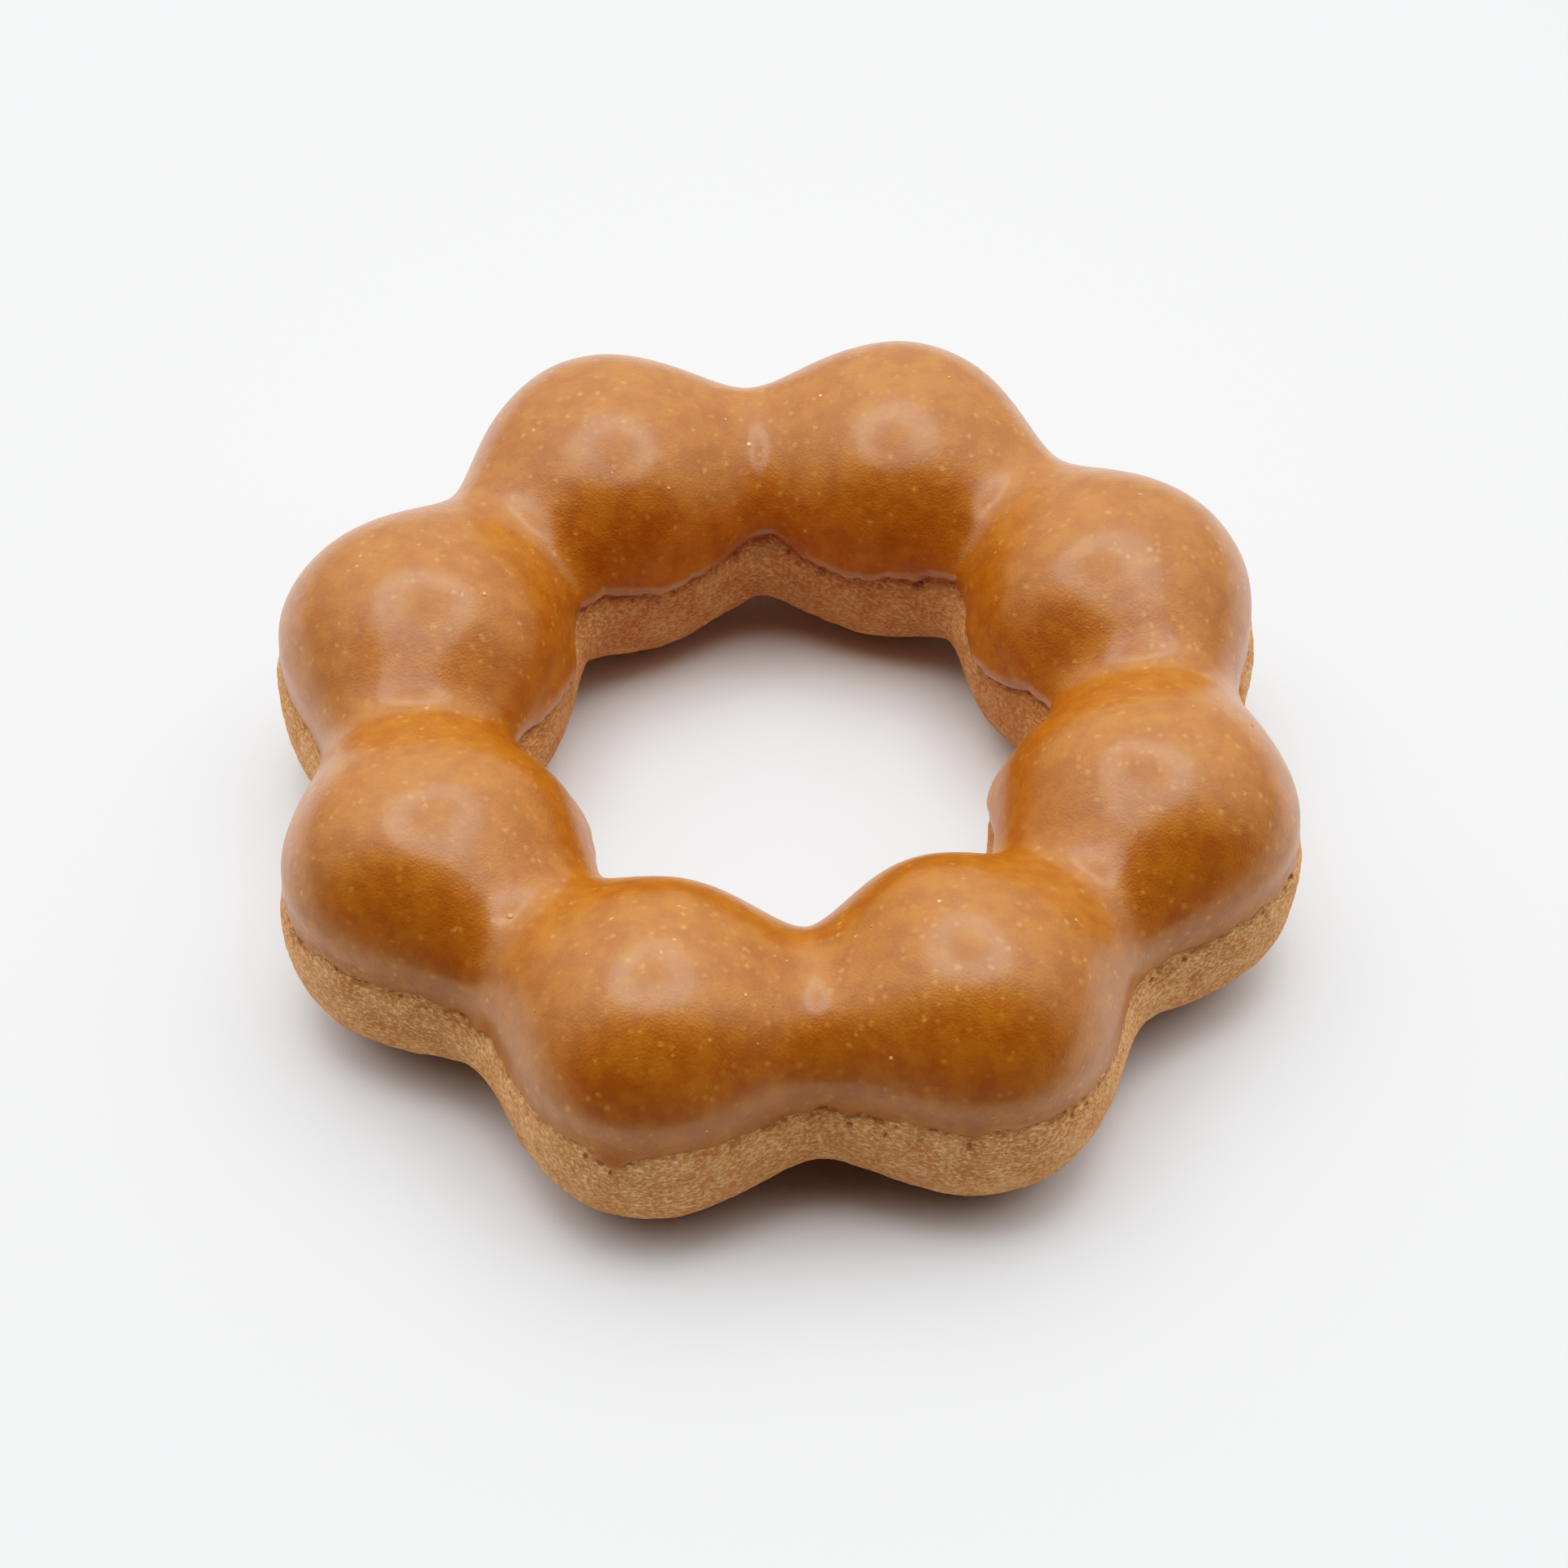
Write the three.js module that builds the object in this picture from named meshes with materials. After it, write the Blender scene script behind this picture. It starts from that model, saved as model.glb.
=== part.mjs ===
// A ring doughnut: eight balls of mochi dough fused into one ring, fried, and dipped crown down in icing.
// Lengths are millimetres and angles are degrees. +Z is up, the ring lies on the plane z = 0, and the
// origin is the middle of its box on that plane. Angles run counter-clockwise from +X, seen from above.

import * as THREE from "three";
import { ParametricGeometry } from "three/addons/geometries/ParametricGeometry.js";
import { mergeVertices } from "three/addons/utils/BufferGeometryUtils.js";

// Driving dimensions of the dough: "ball" through a ball's middle, and "neck" at the waist between two.
const OUTER_RADIUS = { ball: 45.0, neck: 39.5 };
const INNER_RADIUS = { ball: 19.2, neck: 21.5 };
const CROWN_HEIGHT = { ball: 23.3, neck: 19.2 };
const WIDEST_HEIGHT = { ball: 10.6, neck: 8.9 };
// A ball's round underside would reach below the table, so it is pressed into a small flat.
const UNDERSIDE_HEIGHT = { ball: -0.7, neck: 3.7 };
// The crown leans outward: this share of the way from the ring's inner side to its outer side.
const CREST_SHARE = { ball: 0.54, neck: 0.6 };
// A section's fullness: 2 is an ellipse, and more is squarer.
const UPPER_FULLNESS = 2.2;
const LOWER_FULLNESS = 2.5;
// Under the icing the dough draws in by this depth, all of it by where the sine of the slope is the rise.
const SHOULDER_DEPTH = 0.7;
const SHOULDER_RISE = 0.35;
// How softly each side rolls into a neck: 0 is a sharp crease, and 1 is nearly a sine wave.
const NECK_SOFTNESS = { outer: 0.66, inner: 0.24, crown: 0.31, underside: 0.15, widest: 0.5 };

// How each ball departs from an even ring, counter-clockwise from the one at the front right: its turn
// along the ring in degrees, its plumpness against the mean, and its push away from the centre.
const FIRST_BALL_ANGLE = -63;
const BALLS = [
  { turn: -0.6, plump: 1.03, push: 0.4 },
  { turn: -1.7, plump: 1.01, push: -0.3 },
  { turn: -0.9, plump: 0.99, push: -0.5 },
  { turn: -0.5, plump: 0.99, push: 0.2 },
  { turn: 1.0, plump: 1.0, push: 0.4 },
  { turn: 2.0, plump: 1.0, push: 0.1 },
  { turn: 1.7, plump: 1.01, push: 0.2 },
  { turn: 0.3, plump: 1.01, push: 0.8 },
];

// The balls reach unevenly far out, so the ring's own centre stands a little off the middle of its box.
const RING_CENTRE = { x: 0.4, y: 0.6 };

// Driving dimensions of the icing. The dip leaves its edge nearly level, outside and in the hole.
const ICING_THICKNESS = 0.6;
const ICING_CLEARANCE = 0.3;
const ICING_LIP_WIDTH = 1.2;
const OUTER_EDGE_HEIGHT = { ball: 13.4, neck: 12.2 };
const INNER_EDGE_HEIGHT = { ball: 12.3, neck: 13.2 };
// Slow waves in the edge: how many go round the ring, how high each stands, and where each starts.
const EDGE_WAVES = [
  { count: 11, height: 0.16, start: 20 },
  { count: 17, height: 0.14, start: 75 },
  { count: 23, height: 0.12, start: 140 },
];
// One short run of icing hangs below the outer edge, at the front left.
const ICING_RUN = { angle: -106.5, drop: 1.1, halfWidth: 3.0 };

// Facets: steps along each ball, and round the section of the dough and of each face of the icing.
const STEPS_PER_BALL = 12;
const DOUGH_SECTION_STEPS = 28;
const ICING_OUTSIDE_STEPS = 19;
const ICING_INSIDE_STEPS = 15;

const FULL_TURN = 2 * Math.PI;
const ballAngles = BALLS.map((ball, i) =>
  THREE.MathUtils.degToRad(FIRST_BALL_ANGLE + (i * 360) / BALLS.length + ball.turn),
);

// The angle of the neck that follows ball i, halfway to the next ball. i may run past the list's ends.
function neckAngle(i) {
  const angleOf = (k) => {
    const laps = Math.floor(k / BALLS.length);
    return ballAngles[k - laps * BALLS.length] + laps * FULL_TURN;
  };
  return (angleOf(i) + angleOf(i + 1)) / 2;
}

// Which ball an angle lies in, and how far it is from that ball's middle: 0 there, and 1 at the neck.
function stationAt(angle) {
  const start = neckAngle(-1);
  const turned = start + THREE.MathUtils.euclideanModulo(angle - start, FULL_TURN);
  let i = 0;
  while (i < BALLS.length - 1 && turned > neckAngle(i)) i += 1;
  const middle = ballAngles[i];
  const neck = turned > middle ? neckAngle(i) : neckAngle(i - 1);
  return { ball: BALLS[i], reach: (turned - middle) / (neck - middle) };
}

// A ball's swell along the ring: 1 at its middle, falling to 0 at the neck with a rounded valley there.
function swell(reach, softness) {
  const rise = Math.cos((Math.min(reach, 1) * Math.PI) / 2);
  return (Math.hypot(rise, softness) - softness) / (Math.hypot(1, softness) - softness);
}

function mixNeckToBall(size, ballSize, share) {
  return size.neck + (ballSize - size.neck) * share;
}

// The dough's section at an angle: how far it reaches inward, outward, up and down.
function sectionAt(angle) {
  const { ball, reach } = stationAt(angle);
  const share = (side) => swell(reach, NECK_SOFTNESS[side]);
  const middleRadius = (OUTER_RADIUS.ball + INNER_RADIUS.ball) / 2 + ball.push;
  const halfWidth = ((OUTER_RADIUS.ball - INNER_RADIUS.ball) / 2) * ball.plump;
  const outer = mixNeckToBall(OUTER_RADIUS, middleRadius + halfWidth, share("outer"));
  const inner = mixNeckToBall(INNER_RADIUS, middleRadius - halfWidth, share("inner"));
  return {
    outer,
    inner,
    crest: THREE.MathUtils.lerp(inner, outer, mixNeckToBall(CREST_SHARE, CREST_SHARE.ball, share("crown"))),
    crown: mixNeckToBall(CROWN_HEIGHT, CROWN_HEIGHT.ball * ball.plump, share("crown")),
    widest: mixNeckToBall(WIDEST_HEIGHT, WIDEST_HEIGHT.ball, share("widest")),
    underside: mixNeckToBall(UNDERSIDE_HEIGHT, UNDERSIDE_HEIGHT.ball, share("underside")),
    outerEdge: mixNeckToBall(OUTER_EDGE_HEIGHT, OUTER_EDGE_HEIGHT.ball, share("outer")),
    innerEdge: mixNeckToBall(INNER_EDGE_HEIGHT, INNER_EDGE_HEIGHT.ball, share("inner")),
  };
}

// A point of the ring's surface. slope turns round the section: 0 faces outward, a quarter turn is the
// crown, and half a turn faces the hole. grow swells the section by that much all round.
function surfacePoint(section, angle, slope, grow, target) {
  const across = Math.cos(slope);
  const upward = Math.sin(slope);
  const power = 2 / (upward > 0 ? UPPER_FULLNESS : LOWER_FULLNESS);
  const shoulder = SHOULDER_DEPTH * THREE.MathUtils.smoothstep(upward, 0, SHOULDER_RISE);
  const sideReach = across > 0 ? section.outer - section.crest : section.crest - section.inner;
  const levelReach = upward > 0 ? section.crown - section.widest : section.widest - section.underside;
  const outward = Math.sign(across) * Math.abs(across) ** power;
  const radius = section.crest + outward * (sideReach - shoulder + grow);
  const height = section.widest + Math.sign(upward) * Math.abs(upward) ** power * (levelReach + grow);
  return target.set(radius * Math.cos(angle), radius * Math.sin(angle), Math.max(height, 0));
}

// The slope, up from the widest level, at which the dough's surface reaches a height.
function slopeAtHeight(section, height) {
  const share = (height - section.widest) / (section.crown - section.widest);
  return Math.asin(share ** (UPPER_FULLNESS / 2));
}

function edgeWave(angle) {
  const waves = EDGE_WAVES.map(({ count, height, start }) =>
    height * Math.sin(count * angle + THREE.MathUtils.degToRad(start)),
  );
  return waves.reduce((sum, wave) => sum + wave, 0);
}

function icingRun(angle) {
  const away = THREE.MathUtils.radToDeg(angle) - ICING_RUN.angle;
  const turns = Math.round(away / 360);
  return ICING_RUN.drop * Math.exp(-(((away - turns * 360) / ICING_RUN.halfWidth) ** 2));
}

// The slopes of the icing's outer edge and of its edge in the hole, at an angle.
function icingEdges(section, angle) {
  const outerHeight = section.outerEdge + edgeWave(angle) - icingRun(angle);
  const innerHeight = section.innerEdge - edgeWave(angle);
  return {
    outer: slopeAtHeight(section, outerHeight),
    inner: Math.PI - slopeAtHeight(section, innerHeight),
  };
}

// The icing's thickness at a distance from its edge: a rounded lip, and then the full coat.
function icingCoat(distance) {
  const share = Math.min(distance / ICING_LIP_WIDTH, 1);
  return ICING_THICKNESS * Math.sqrt(1 - (1 - share) ** 2);
}

// Closes a surface that runs once round the ring and once round its section.
function closedRing(point, sectionSteps) {
  const geometry = new ParametricGeometry(point, STEPS_PER_BALL * BALLS.length, sectionSteps);
  geometry.deleteAttribute("normal");
  geometry.deleteAttribute("uv");
  const closed = mergeVertices(geometry);
  closed.computeVertexNormals();
  return closed;
}

function doughGeometry() {
  return closedRing((u, v, target) => {
    const angle = u * FULL_TURN;
    surfacePoint(sectionAt(angle), angle, v * FULL_TURN, 0, target);
  }, DOUGH_SECTION_STEPS);
}

function icingGeometry() {
  const steps = ICING_OUTSIDE_STEPS + ICING_INSIDE_STEPS;
  const outsideShare = ICING_OUTSIDE_STEPS / steps;
  return closedRing((u, v, target) => {
    const angle = u * FULL_TURN;
    const section = sectionAt(angle);
    const edge = icingEdges(section, angle);
    const onOutside = v <= outsideShare;
    const along = onOutside ? v / outsideShare : (1 - v) / (1 - outsideShare);
    // Outside, the steps crowd towards both edges, where the lip curves most.
    const crowding = onOutside ? (0.75 * Math.sin(along * FULL_TURN)) / FULL_TURN : 0;
    const slope = THREE.MathUtils.lerp(edge.outer, edge.inner, along - crowding);
    const meanRadius = (section.outer - section.inner) / 2;
    const distance = Math.min(slope - edge.outer, edge.inner - slope) * meanRadius;
    const coat = onOutside ? icingCoat(distance) : 0;
    surfacePoint(section, angle, slope, ICING_CLEARANCE + coat, target);
  }, steps);
}

const doughMaterial = new THREE.MeshStandardMaterial({ color: 0xb98a5c, roughness: 0.8, metalness: 0 });
const icingMaterial = new THREE.MeshStandardMaterial({ color: 0xb4702f, roughness: 0.35, metalness: 0 });

const dough = new THREE.Mesh(doughGeometry(), doughMaterial);
dough.name = "dough_ring";

const icing = new THREE.Mesh(icingGeometry(), icingMaterial);
icing.name = "icing";

const doughnut = new THREE.Group();
doughnut.add(dough, icing);
doughnut.position.set(RING_CENTRE.x, RING_CENTRE.y, 0);

export default doughnut;
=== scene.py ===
"""A ring doughnut of fused dough balls, dipped in caramel icing, on a pale floor in a light tent."""

import math

import bpy
from bpy.props import FloatProperty, FloatVectorProperty, IntProperty, PointerProperty
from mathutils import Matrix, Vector


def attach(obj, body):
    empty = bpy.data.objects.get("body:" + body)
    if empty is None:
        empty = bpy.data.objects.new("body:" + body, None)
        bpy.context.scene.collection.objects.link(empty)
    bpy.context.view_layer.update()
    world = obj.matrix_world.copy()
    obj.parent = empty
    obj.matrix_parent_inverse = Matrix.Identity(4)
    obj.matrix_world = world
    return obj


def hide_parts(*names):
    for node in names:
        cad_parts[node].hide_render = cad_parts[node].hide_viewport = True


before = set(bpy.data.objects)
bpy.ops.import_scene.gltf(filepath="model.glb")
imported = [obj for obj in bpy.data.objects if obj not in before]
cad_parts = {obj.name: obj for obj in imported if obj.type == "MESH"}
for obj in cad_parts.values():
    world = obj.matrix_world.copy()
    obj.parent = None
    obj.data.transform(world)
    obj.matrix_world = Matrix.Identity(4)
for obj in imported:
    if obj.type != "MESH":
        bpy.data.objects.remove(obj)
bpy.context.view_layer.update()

bl_info = {
    "name": "Ring doughnut",
    "version": (1, 0, 0),
    "blender": (4, 5, 0),
    "location": "3D View > Sidebar > Doughnut",
    "description": "Makes a ring doughnut of fused balls with caramel icing, and a light tent around it",
    "category": "Add Mesh",
}

MM = 0.001
FULL_TURN = 2 * math.pi

# How each ball departs from an even ring, counter-clockwise from the front right, as in the solids:
# its turn along the ring in degrees, its plumpness against the mean, and its push outward in millimetres.
FIRST_BALL_ANGLE = -63
BALLS = [
    {"turn": -0.6, "plump": 1.03, "push": 0.4},
    {"turn": -1.7, "plump": 1.01, "push": -0.3},
    {"turn": -0.9, "plump": 0.99, "push": -0.5},
    {"turn": -0.5, "plump": 0.99, "push": 0.2},
    {"turn": 1.0, "plump": 1.0, "push": 0.4},
    {"turn": 2.0, "plump": 1.0, "push": 0.1},
    {"turn": 1.7, "plump": 1.01, "push": 0.2},
    {"turn": 0.3, "plump": 1.01, "push": 0.8},
]

# Where the icing ran down below its edge: the angle and half width in degrees, and the drop in millimetres.
ICING_RUNS = [
    {"angle": -106.5, "half_width": 2.0, "drop": 1.2},
    {"angle": -128.0, "half_width": 2.0, "drop": 0.6},
    {"angle": -52.0, "half_width": 3.0, "drop": 0.5},
    {"angle": 20.0, "half_width": 4.0, "drop": 0.4},
]

# How strongly the grids' steps crowd: on the dough's side walls, and at the icing's two lips.
WALL_CROWDING = 0.3
LIP_CROWDING = 0.8

# Heights below the icing's edge between which the dough's fine relief fades in.
RELIEF_FADE = (-1.0 * MM, -0.2 * MM)

# Distances from the ring's axis between which the dough turns into the wall of the hole, and its painted
# shade fades in.
HOLE_WALL = (31 * MM, 25 * MM)

# Places along Y between which the floor turns dark in reflections alone, in front of the ring: a painted
# reflection of the tent's dark open front.
FRONT_EDGE = (-60 * MM, -130 * MM)

# Tones of the picture: light in the scene, and the light that is shown for it.
TONES = [(0.05, 0.03), (0.12, 0.1), (0.3, 0.3), (0.65, 0.65), (0.95, 0.84), (1.3, 0.94), (2.0, 1.0)]


# Properties

def linear(code):
    """The linear colour of a six-digit hex code."""
    channels = [int(code[i:i + 2], 16) / 255 for i in (0, 2, 4)]
    return [c / 12.92 if c <= 0.04045 else ((c + 0.055) / 1.055) ** 2.4 for c in channels]


def length(name, description, millimetres):
    return FloatProperty(name=name, description=description, default=millimetres * MM, precision=5,
                         subtype="DISTANCE", unit="LENGTH")


def angle(name, description, degrees):
    return FloatProperty(name=name, description=description, default=math.radians(degrees),
                         subtype="ANGLE", unit="ROTATION")


def amount(name, description, default):
    return FloatProperty(name=name, description=description, default=default, precision=3)


def colour(name, description, code):
    return FloatVectorProperty(name=name, description=description, default=linear(code), size=3,
                               min=0, max=1, subtype="COLOR")


class RingSizes(bpy.types.PropertyGroup):
    """Sizes of the bare dough ring, the same as the solids'."""

    outer_ball: length("Outer radius at ball", "From the ring's centre to a ball's outside", 45.0)
    outer_neck: length("Outer radius at neck", "From the ring's centre to the outside of a neck", 39.5)
    inner_ball: length("Inner radius at ball", "From the ring's centre to a ball's hole side", 19.2)
    inner_neck: length("Inner radius at neck", "From the ring's centre to the hole side of a neck", 21.5)
    crown_ball: length("Crown at ball", "Height of the dough at a ball's top", 23.3)
    crown_neck: length("Crown at neck", "Height of the dough on a neck", 19.2)
    widest_ball: length("Widest level at ball", "Height where a ball is widest", 10.6)
    widest_neck: length("Widest level at neck", "Height where a neck is widest", 8.9)
    under_ball: length("Underside at ball", "Height of a ball's underside before it is pressed flat", -0.7)
    under_neck: length("Underside at neck", "How high a neck arches up off the table", 3.7)
    crest_ball: amount("Crest at ball", "Where the crown stands from the inner to the outer side", 0.54)
    crest_neck: amount("Crest at neck", "Where the crown stands from the inner to the outer side", 0.6)
    upper_fullness: amount("Upper fullness", "2 is an ellipse, and more is squarer", 2.2)
    lower_fullness: amount("Lower fullness", "2 is an ellipse, and more is squarer", 2.5)
    shoulder_depth: length("Shoulder depth", "How far the dough draws in under the icing", 0.7)
    shoulder_rise: amount("Shoulder rise", "Sine of the slope by which the shoulder is drawn in", 0.35)
    soft_outer: amount("Outer neck softness", "0 is a crease, and 1 nearly a sine wave", 0.66)
    soft_inner: amount("Inner neck softness", "0 is a crease, and 1 nearly a sine wave", 0.24)
    soft_crown: amount("Crown neck softness", "0 is a crease, and 1 nearly a sine wave", 0.31)
    soft_under: amount("Underside neck softness", "0 is a crease, and 1 nearly a sine wave", 0.15)
    soft_widest: amount("Widest level softness", "0 is a crease, and 1 nearly a sine wave", 0.5)
    centre_x: length("Ring centre X", "The ring's own centre, off the middle of its box", 0.4)
    centre_y: length("Ring centre Y", "The ring's own centre, off the middle of its box", 0.6)
    outer_edge_ball: length("Outer edge at ball", "Height of the icing's edge on a ball's outside", 13.4)
    outer_edge_neck: length("Outer edge at neck", "Height of the icing's edge on a neck's outside", 12.2)
    inner_edge_ball: length("Inner edge at ball", "Height of the icing's edge on a ball in the hole", 12.3)
    inner_edge_neck: length("Inner edge at neck", "Height of the icing's edge on a neck in the hole", 13.2)
    edge_wander: length("Edge wander", "How far the icing's edge strays from its level", 0.75)
    edge_wander_size: length("Edge wander size", "Length of one stray along the edge", 4.0)
    edge_tear: length("Edge tear", "Depth of the small tears in the icing's edge", 0.6)
    edge_tear_size: length("Edge tear size", "Length of one small tear along the edge", 2.0)


class DoughRelief(bpy.types.PropertyGroup):
    """Relief of the fried dough that shows below the icing."""

    lump_depth: length("Lump depth", "Height of the broad blisters", 0.22)
    lump_size: length("Lump size", "Width of the broad blisters", 5.0)
    wrinkle_depth: length("Wrinkle depth", "Height of the fine wrinkles", 0.16)
    wrinkle_size: length("Wrinkle size", "Length of the fine wrinkles along the ring", 2.0)
    wrinkle_stretch: amount("Wrinkle stretch", "How much longer than high a wrinkle is", 2.2)
    pit_depth: length("Pit depth", "Depth of the small pits under the icing's edge", 0.45)
    pit_size: length("Pit size", "Spacing of the small pits", 1.3)
    pit_band: length("Pit band", "How far below the icing's edge the pits reach", 1.3)
    pit_tuck: length("Pit tuck", "How far under the icing's edge the pits reach", 0.6)


class IcingSizes(bpy.types.PropertyGroup):
    """Sizes of the icing's coat."""

    coat: length("Coat", "How far the icing stands out from the dough", 0.9)
    bury: length("Bury", "How deep the icing's hidden face lies in the dough", 0.3)
    lip: length("Lip", "How far the icing stands out at its rounded lip", 0.22)
    lip_width: length("Lip width", "Width of the rounded lip", 1.0)
    coat_width: length("Coat width", "Distance from the edge's level at which the coat is full", 3.4)
    coat_lead: length("Coat lead", "How far beyond the edge's level the coat starts to fill", 0.5)
    hole_coat_width: length("Coat width in hole", "The same as Coat width, at the edge in the hole", 1.5)
    hole_coat_lead: length("Coat lead in hole", "The same as Coat lead, at the edge in the hole", 4.0)
    swell_depth: length("Swell depth", "Height of the slow unevenness of the icing", 0.12)
    swell_size: length("Swell size", "Width of the slow unevenness of the icing", 9.0)


class SpeckSizes(bpy.types.PropertyGroup):
    """The small sugar grains in the icing."""

    density: amount("Density", "Grains on a square metre of icing", 9000)
    smallest: length("Smallest", "Radius of the smallest grain", 0.08)
    largest: length("Largest", "Radius of the largest grain", 0.26)
    flatness: amount("Flatness", "Height of a grain against its width", 0.35)
    seed: IntProperty(name="Seed", description="Seed of the scatter", default=4)


class Finishes(bpy.types.PropertyGroup):
    """Colours and gloss of the dough, the icing and the stage."""

    dough_pale: colour("Pale dough", "Fried dough between the brown threads", "fdca92")
    dough_brown: colour("Brown dough", "Brown threads of the fried dough", "cd8043")
    # Dark dough: painted shade on the wall of the hole and underneath.
    shaded_dough: colour("Dark dough", "Dough in the hole and underneath", "a5622a")
    # Pit colour: painted shade inside the small pits and in the crevice under the icing's edge.
    pit_shade: colour("Dough pits", "Inside of the small pits", "85481a")
    icing_gold: colour("Golden icing", "Golden patches of the icing", "b26d18")
    icing_deep: colour("Deep icing", "Deep patches of the icing", "9f5a0a")
    fleck_gold: colour("Golden flecks", "Soft golden flecks in the icing", "cf9a4c")
    speck_cream: colour("Cream specks", "Sugar specks in the icing", "e6b87c")
    # Pore colour: painted shade inside the small pores of the icing.
    pore_shade: colour("Dark pores", "Small pores in the icing", "5d300f")
    floor_pale: colour("Floor", "The pale floor", "f2f3f4")
    # Painted reflection: the floor's colour in reflections alone, in front of the ring.
    dark_front_reflection: colour("Dark front", "What the icing reflects beyond the floor's front", "2a2a2c")
    # Shares of painted shade on the wall of the hole and underneath.
    hole_shade: amount("Hole browning", "Share of dark dough on the wall of the hole", 0.32)
    under_shade: amount("Underside browning", "Share of dark dough underneath", 0.8)
    dough_roughness: amount("Dough roughness", "Roughness of the fried dough", 0.75)
    icing_roughness: amount("Icing roughness", "Roughness of the icing's body", 0.36)
    skin_roughness: amount("Skin roughness", "Roughness of the icing's thin sugar skin", 0.2)
    skin_shine: amount("Skin shine", "Weight of the sugar skin where the coat is full", 0.8)
    lip_shine: amount("Lip shine", "Weight of the sugar skin at the icing's lip", 0.2)


class StageSizes(bpy.types.PropertyGroup):
    """Camera, floor and lights."""

    elevation: angle("Elevation", "Camera's angle above the table", 49.6)
    distance: length("Distance", "From the camera to the point it looks at", 306.3)
    aim_x: length("Aim X", "The point on the table that the camera looks at", 0.49)
    aim_y: length("Aim Y", "The point on the table that the camera looks at", 5.81)
    lens: amount("Lens", "Focal length in millimetres on a 36 mm sensor", 79.66)
    floor_size: length("Floor size", "Side of the square floor", 6000)
    lamp_x: length("Lamp X", "Middle of the ring lamp", -3)
    lamp_y: length("Lamp Y", "Middle of the ring lamp", 37)
    lamp_height: length("Lamp height", "Height of the ring lamp above the table", 200)
    lamp_width: length("Lamp width", "Outer diameter of the ring lamp", 202)
    lamp_hole: amount("Lamp hole", "Diameter of the dark middle against the outer one", 0.44)
    lamp_softness: amount("Lamp softness", "Half width of the soft rim of the dark middle", 0.08)
    lamp_power: amount("Lamp power", "Power of the ring lamp in watts", 0.225)
    wall_glow: amount("Wall glow", "Brightness of the tent's walls at the table", 0.6)
    roof_glow: amount("Roof glow", "How much brighter the tent is overhead", 1.72)
    opening_start: amount("Opening start", "Y of a direction where the open front is fully dark", -0.46)
    opening_end: amount("Opening end", "Y of a direction where the walls are fully white", 0.18)
    opening_sides: amount("Opening sides", "How much the side walls reach into the opening", 0.12)


SETTINGS = {
    "doughnut_ring": RingSizes,
    "doughnut_relief": DoughRelief,
    "doughnut_icing": IcingSizes,
    "doughnut_specks": SpeckSizes,
    "doughnut_finishes": Finishes,
    "doughnut_stage": StageSizes,
}


# Node formulas

class Formula:
    """A value in a node tree. Python's signs and the methods below each add a Math node to the tree."""

    def __init__(self, tree, socket):
        self.tree = tree
        self.socket = socket

    def math(self, operation, *others):
        return math_node(self.tree, operation, self, *others)

    def __add__(self, other):
        return self.math("ADD", other)

    def __radd__(self, other):
        return math_node(self.tree, "ADD", other, self)

    def __sub__(self, other):
        return self.math("SUBTRACT", other)

    def __rsub__(self, other):
        return math_node(self.tree, "SUBTRACT", other, self)

    def __mul__(self, other):
        return self.math("MULTIPLY", other)

    def __rmul__(self, other):
        return math_node(self.tree, "MULTIPLY", other, self)

    def __truediv__(self, other):
        return self.math("DIVIDE", other)

    def __rtruediv__(self, other):
        return math_node(self.tree, "DIVIDE", other, self)

    def __pow__(self, other):
        return self.math("POWER", other)

    def __neg__(self):
        return self.math("MULTIPLY", -1)

    def __gt__(self, other):
        return self.math("GREATER_THAN", other)

    def __lt__(self, other):
        return self.math("LESS_THAN", other)

    def __abs__(self):
        return self.math("ABSOLUTE")

    def at_least(self, other):
        return self.math("MAXIMUM", other)

    def at_most(self, other):
        return self.math("MINIMUM", other)

    def step_between(self, start, end):
        """0 before start and 1 after end, with a smooth step between them. start may be the larger."""
        node = self.tree.nodes.new("ShaderNodeMapRange")
        node.interpolation_type = "SMOOTHSTEP"
        for name, value in (("Value", self), ("From Min", start), ("From Max", end)):
            feed(self.tree, node.inputs[name], value)
        return Formula(self.tree, node.outputs[0])


def feed(tree, port, value):
    """Links a formula or a socket to a port, or sets a plain value on it."""
    if isinstance(value, Formula):
        tree.links.new(value.socket, port)
    elif isinstance(value, bpy.types.NodeSocket):
        tree.links.new(value, port)
    else:
        port.default_value = value


def math_node(tree, operation, *values):
    node = tree.nodes.new("ShaderNodeMath")
    node.operation = operation
    for port, value in zip(node.inputs, values):
        feed(tree, port, value)
    return Formula(tree, node.outputs[0])


def choose(test, when_true, when_false):
    """One of two formulas, by a test that is 1 or 0."""
    return when_false + (when_true - when_false) * test


def add_node(tree, kind, inputs=(), **settings):
    """Adds a node, sets its options and feeds its inputs, given by name or by number."""
    node = tree.nodes.new(kind)
    for name, value in settings.items():
        setattr(node, name, value)
    for name, value in dict(inputs).items():
        feed(tree, node.inputs[name], value)
    return node


def split(tree, vector):
    """The three parts of a vector, as formulas."""
    node = add_node(tree, "ShaderNodeSeparateXYZ", {0: vector})
    return [Formula(tree, port) for port in node.outputs]


def join(tree, x, y, z):
    return add_node(tree, "ShaderNodeCombineXYZ", {0: x, 1: y, 2: z}).outputs[0]


def scaled(tree, vector, factors):
    node = add_node(tree, "ShaderNodeVectorMath", {0: vector, 1: factors}, operation="MULTIPLY")
    return node.outputs[0]


def noise(tree, vector, scale, detail=2.0, roughness=0.5):
    """Cloudy noise about 0, from about -1 to 1."""
    node = add_node(tree, "ShaderNodeTexNoise",
                    {"Vector": vector, "Scale": scale, "Detail": detail, "Roughness": roughness})
    return (Formula(tree, node.outputs[0]) - 0.5) * 2


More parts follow.
